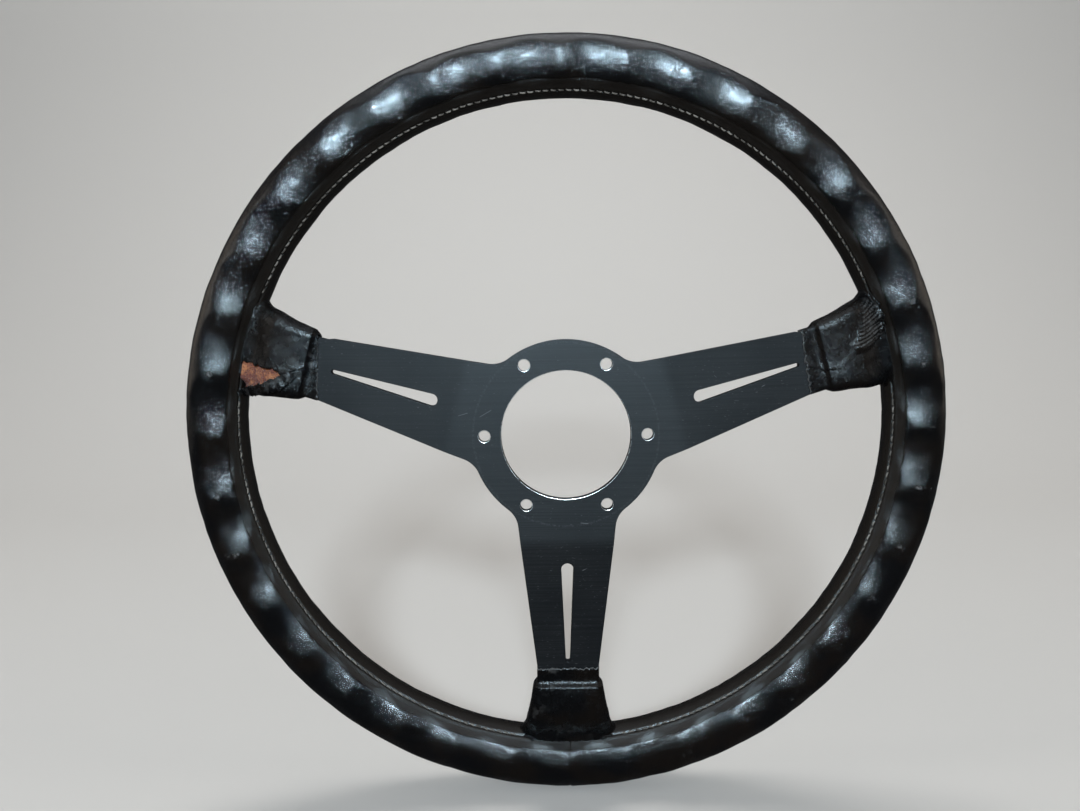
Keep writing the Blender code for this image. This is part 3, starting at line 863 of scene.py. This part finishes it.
def over_tab(points, degrees, clear):
    """Points on the column side kept this far in front of the plate's hidden tab."""
    a = math.radians(degrees)
    x, y, z = points[..., 0], points[..., 1], points[..., 2]
    u, v = x * math.cos(a) + z * math.sin(a), z * math.cos(a) - x * math.sin(a)
    tab = (1 - step_up(np.abs(v), 14.2, 17.5)) * step_up(u, 124, 130) * (y < plate_y(u) + PLATE)
    return np.stack([x, y - tab * softplus(y - plate_y(u) + clear, 0.12), z], -1)


def share_at(v, u):
    """The share round the half length at a distance v across the column side."""
    return v / half_length(*station(np.minimum(u, TURN_AT)))


ROWS = np.concatenate([
    np.linspace(LIP_AT, 121, 9)[:-1], np.linspace(121, 126, 15)[:-1],
    np.linspace(126, TURN_AT, 20)[:-1], np.linspace(TURN_AT, SLEEVE_END, 26),
])


def inside_polygon(u, v, corners, soft):
    """About 1 inside a convex-ish polygon and 0 outside, with a soft edge."""
    u, v = np.broadcast_arrays(u, v)
    inside = np.zeros(u.shape, bool)
    away = np.full(u.shape, 1e9)
    for (a, b), (c, d) in zip(corners, corners[1:] + corners[:1]):
        crosses = (b > v) != (d > v)
        with np.errstate(divide="ignore", invalid="ignore"):
            at = (c - a) * (v - b) / (d - b) + a
        inside ^= crosses & (u < at)
        t = np.clip(((u - a) * (c - a) + (v - b) * (d - b)) / ((c - a) ** 2 + (d - b) ** 2), 0, 1)
        away = np.minimum(away, np.hypot(u - a - t * (c - a), v - b - t * (d - b)))
    return 1 / (1 + np.exp(np.where(inside, -away, away) / soft * 2))


def column_side(share):
    """1 on the half of a sleeve that faces the column and 0 on the half that faces the driver."""
    return 1 - step_up(np.abs(share), 0.40, 0.46)


def tucked(u, v, share, over):
    """How far the sleeve's end reaches round the rim, and how proud of it that end is: on the wrap over the
    plate's tab and where over(v) is 1, and under the wrap's edge beside them."""
    tab, lap = 1 - step_up(np.abs(v), 14.5, 19), over(v) * column_side(share)
    end = 1.8 - np.maximum(1.4 * tab, 1.8 * lap)
    proud = np.where(u > TURN_AT, 1 - end * step_up(u, 150.5, SLEEVE_END), 1.0)
    return 1 + np.maximum(0.28 * tab, 0.5 * lap), proud


def nowhere(v):
    return np.zeros(np.shape(v))


def sheet(start, end, columns):
    """A grid over a sleeve between two shares: its distances along the spoke, its shares, and its distances
    across the spoke and from the start."""
    share = start + (end - start) * np.linspace(0, 1, columns)[None, :]
    u = np.repeat(ROWS[:, None], columns, 1)
    box = station(np.minimum(u, TURN_AT))
    half = half_length(*box)
    return u, share, box_line(share * half, *box)[0], np.abs(share - start) * half


def frayed(u, v, lip, seed):
    """Distances along the spoke, drawn to a frayed end at lip(v)."""
    line = np.stack([u * 0, v, u * 0], -1)
    end = lip(v) + 0.28 * waves(line, 3.2, seed) + 0.15 * waves(line, 1.1, seed + 1)
    return u + (end - LIP_AT) * np.clip((125 - u) / 9, 0, 1)


def outward(base, u, degrees):
    """A sleeve's normals, away from the spoke, and the sign that turned them so."""
    n, u = normals_of(base), np.clip(u, 0, 150)
    centre = from_spoke(u, 0.0, plate_y(u) + PLATE / 2, degrees)
    flip = np.sign((n * (base - centre)).sum(-1).mean())
    return n * flip, flip


def boot_leather(name, u, base, out, clear, degrees, marks, looks, edge="cut", all_round=False):
    """A sheet of leather this far out from a sleeve. Its cut edge shows at the spoke's end, or all round."""
    n, flip = outward(base, u, degrees)
    points = over_tab(off_rim(base + n * out[..., None], clear, 0.4), degrees, OFF_TAB)
    faces = grid_faces(*u.shape, turn=flip < 0)
    index = [0 if all_round or k < u.shape[1] - 1 else 2 for k in range(len(faces))]
    marks = {key: values.ravel() for key, values in marks.items()}
    materials = [looks["boot"], looks[edge], looks["boot"]]
    made = new_object(name, points.reshape(-1, 3), faces, materials, marks, index)
    modifier = made.modifiers.new("thickness", "SOLIDIFY")
    modifier.thickness, modifier.offset = LEATHER * MM, -1.0
    modifier.use_even_offset = False
    modifier.use_rim = True
    modifier.material_offset_rim = 1
    return made


def tongue(name, side, sign, edge, lip, looks, lift, seed, detail=None, columns=74, over=nowhere, sink=0.0):
    """A leather tongue from edge(u), the seam on the column side, round to the middle of the driver side."""
    degrees = SPOKES[side]
    u, share, v, from_edge = sheet(share_at(edge(ROWS), ROWS)[:, None], sign * MEET, columns)
    round_it = np.stack([u * 0, v, share * 60], -1)
    u = frayed(u, v, lip, seed + 40)
    reach, proud = tucked(u, v, share, over)
    base = sleeve(u, share, degrees, reach + 0.03 * waves(round_it, 5, seed + 43), proud)
    out = 0.09 * waves(base, 15, seed) + 0.025 * waves(base, 5, seed + 1)
    out = out * step_up(u, 121, 127)
    out = out + lift * (1 - step_up(from_edge, 0.4, 4.0)) - sink * (1 - step_up(from_edge, 2.5, 6.5))
    more, extra, peel = detail(u, v, share) if detail else np.zeros((3, *u.shape))
    worn = np.clip(0.35 * (1 - step_up(u, 116.3, 119)) + 0.25 + 0.25 * waves(base, 8, seed + 7) + extra, 0, 1)
    return boot_leather(name, u, base, out + more, proud, degrees, {"wear": worn, "rub": peel}, looks)


def pad(side, looks):
    """The foam sleeve under the leather, hollow where the tab passes through."""
    degrees = SPOKES[side]
    rows = np.concatenate([np.linspace(125.4, TURN_AT, 26)[:-1], np.linspace(TURN_AT, 155.0, 26)])[:, None]
    share = np.linspace(-1, 1, 181)[None, :-1]
    box = station(TURN_AT)
    across, _ = box_line(share * half_length(*box), *box)
    longer = 1.13 - 0.24 * step_up(np.abs(across), 12, 17)
    u = np.where(rows > TURN_AT, TURN_AT + (rows - TURN_AT) * longer, rows)
    base = sleeve(u, share, degrees, 1.0, 0.4)
    n, _ = outward(base, rows, degrees)
    rough = 0.16 * waves(base, 3.2, 71) + 0.12 * waves(base, 1.6, 72)
    fade = step_up(rows, 125, 128)
    outer = base - n * (1.25 + 0.25 * (1 - fade) - rough * 0.7)[..., None]
    wall = 2.7 * (1 - 0.75 * step_up(rows, 144, 152.5))[..., None]
    inner = off_rim(outer - n * wall, 0.05, 0.1)
    outer = over_tab(off_rim(outer, 0.35, 0.2), degrees, 0.35)
    count, columns = rough.shape
    last, low = (count - 1) * columns, count * columns
    faces = grid_faces(count, columns, False, True)
    faces += grid_faces(count, columns, False, True, start=low, turn=True)
    for j in range(columns):
        k = (j + 1) % columns
        faces.append((j, k, low + k, low + j))
        faces.append((last + k, last + j, low + last + j, low + last + k))
    made = new_object(f"boot_foam_{side}", joined(outer, inner), faces, [looks["foam"]])
    bm = bmesh.new()
    bm.from_mesh(made.data)
    bmesh.ops.recalc_face_normals(bm, faces=bm.faces[:])
    bm.to_mesh(made.data)
    bm.free()
    stand_for(made, f"boot_pad_{side}")


def knots(*pairs):
    """A line through these places along the spoke and distances across it."""
    xs, ys = zip(*pairs)
    return lambda u: np.interp(u, xs, ys)


def boots(looks):
    """Each boot is two tongues that meet on the driver side and lap on the column side."""
    for side in SPOKES:
        pad(side, looks)
    right_boot(looks)
    seam = knots((115, -9.9), (128, -8.9), (136.3, -7.6), (149.1, -5.5), (157, -4.5))
    pair("bottom", ("right", "left"), seam, lambda v: 115.4 + 0.0 * v, looks, 0.4, (31, 32))
    left_boot(looks)


def pair(side, names, seam, lip, looks, lift, seeds, **upper):
    """Two tongues: the first laps over the second along the seam."""
    for name, sign, edge, up, seed, more in (
        (names[0], 1, seam, lift, seeds[0], upper),
        (names[1], -1, lambda u: seam(u) + 3.0, 0.0, seeds[1], {"sink": 0.3}),
    ):
        made = tongue(f"boot_{side}_{name}", side, sign, edge, lip, looks, up, seed, **more)
        stand_for(made, f"boot_leather_{side}_{name}")


def right_boot(looks):
    """The upper tongue laps over the lower one, and its outer end has peeled and wrinkled."""
    seam = knots((114.2, -0.8), (122.7, -5.7), (130, -6.8), (138, -2.9), (145.7, -2.3), (155.6, 3.8),
                 (157, 6.5))
    patch = [(140.5, 4.4), (136.6, 2.2), (140.5, -1.3), (146.3, -0.6), (153.1, 2.2), (157.7, 5.6),
             (155.7, 13.3), (152.4, 18.9), (146.2, 18.4)]

    def wrinkled(u, v, share):
        front = column_side(share)
        mask = front * inside_polygon(u, v, patch, 0.7)
        ridge = np.abs(np.sin((v * 0.93 - u * 0.18) * math.pi / 1.5 + 0.7 * np.sin(u * 0.45)))
        curl = front * np.exp(-(((u - 139) / 2.2) ** 2) - ((v + 0.2) / 1.6) ** 2)
        return mask * (0.5 + 0.34 * ridge) + 0.7 * curl, 0.6 * mask * ridge, mask * (0.2 + 0.6 * ridge)

    pair("right", ("upper", "lower"), seam, lambda v: 115.4 + 0.10 * v, looks, 0.45, (21, 22),
         detail=wrinkled, columns=150, over=lambda v: step_up(v, 1.5, 4.0) * (1 - step_up(v, 13, 17)))


def left_boot(looks):
    """The upper tongue has torn, and the foam shows in the split."""
    lip = lambda v: 118.9 - 0.225 * v
    lower = knots((115, 0.0), (127, 3.0), (131, 9.5), (137, 14.0), (145, 17.6), (150, 18.6), (157, 19.0))
    made = tongue("boot_left_lower", "left", 1, lower, lip, looks, 0.0, 52, sink=0.3)
    stand_for(made, "boot_leather_left_lower")
    torn_upper(lip, looks)


def jagged(u, seed):
    line = np.stack([u, u * 0, u * 0], -1)
    return 0.35 * waves(line, 3.0, seed) + 0.2 * waves(line, 1.1, seed + 1)


def torn_upper(lip, looks):
    """The upper tongue in two sheets that part at the tear: the body, and the strip that hangs below it."""
    degrees = SPOKES["left"]
    tip = 134.2
    before = knots((116, 1.0), (125, 2.0), (tip, 7.6))
    split_top = knots((tip, 7.6), (135.6, 6.2), (143.6, 6.1), (151.5, 6.4), (157, 6.6))
    split_low = knots((tip, 7.6), (142, 13.3), (149.7, 17.3), (157, 19.4))
    ragged = knots((116.7, 2.3), (127.1, 4.6), (127.3, 6.1), (129, 10.2), (131, 12.2), (136.9, 16.6),
                   (144.6, 20.0), (147.1, 21.0), (151.7, 20.2), (157, 20.0))
    for name, strip in (("boot_left_upper", False), ("boot_left_torn_strip", True)):
        top = np.where(ROWS < tip, before(ROWS), (split_low if strip else split_top)(ROWS))
        top = top + jagged(ROWS, 61 if strip else 63) * step_up(ROWS, tip, tip + 3)
        start, end = share_at(top, ROWS)[:, None], -MEET
        if strip:
            end = share_at(ragged(ROWS) + jagged(ROWS, 65), ROWS)[:, None]
        columns = 22 if strip else 84
        u, share, v, at_split = sheet(start, end, columns)
        u = frayed(u, v, lip, 81)
        reach, proud = tucked(u, v, share, (lambda v: 1 + 0.15 * np.sin(v)) if strip else nowhere)
        base = sleeve(u, share, degrees, reach, proud)
        out = (0.09 * waves(base, 15, 91) + 0.03 * waves(base, 5, 92)) * step_up(u, 121, 127)
        if strip:
            crumple = 0.12 * waves(base, 4.2, 93) + 0.06 * waves(base, 1.8, 94)
            out = out + 0.5 + (0.3 + crumple) * step_up(u, 124, 131)
            out = out + 0.25 * np.linspace(0, 1, columns) * step_up(u, 126, 134)
            worn = np.full(u.shape, 0.9)
        else:
            out = out + 0.5 * (1 - step_up(u, tip - 2, tip + 6)) * (1 - step_up(at_split, 0.5, 4))
            out = out + 0.35 * step_up(u, tip, tip + 5) * np.exp(-at_split / 1.2)
            worn = 0.3 + 0.25 * waves(base, 8, 95) + 0.3 * (1 - step_up(u, 118, 126))
        clear = proud + (0.6 if strip else 0.0)
        marks = {"wear": np.clip(worn, 0, 1)}
        made = boot_leather(name, u, base, out, clear, degrees, marks, looks, "suede", strip)
        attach(made, "root")
        if not strip:
            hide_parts("boot_leather_left_upper")


# ---------------------------------------------------------------- build


def carried_over(looks):
    """The CAD pieces that keep their shape and take a better finish."""
    for name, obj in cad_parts.items():
        if not obj.hide_render:
            obj.data.materials.clear()
            obj.data.materials.append(looks["rivet" if name.startswith("rivet") else "steel"])


def main():
    camera()
    stage_sweep()
    lights()
    looks = {
        "leather": leather("glazed_leather", (0.13, 0.22), 0.34, [scratch(*RIM_SCRATCH)]),
        "boot": leather("boot_leather", (0.20, 0.33), 0.2),
        "cut": suede("leather_edge", (0.05, 0.05, 0.05, 1), (0.20, 0.20, 0.195, 1)),
        "suede": suede("torn_suede", (0.022, 0.024, 0.028, 1), (0.085, 0.09, 0.098, 1)),
        "plate": anodised("black_anodised"),
        "bare": metal("bare_aluminium", (0.78, 0.78, 0.77, 1), 0.3),
        "thread": thread("grey_thread"),
        "foam": foam("red_foam"),
        "steel": metal("core_steel", (0.33, 0.33, 0.34, 1), 0.45, (60, 300, 60)),
        "rivet": metal("rivet_steel", (0.42, 0.42, 0.43, 1), 0.38),
    }
    rim(looks)
    stitches(looks)
    spider(looks)
    boots(looks)
    carried_over(looks)


main()
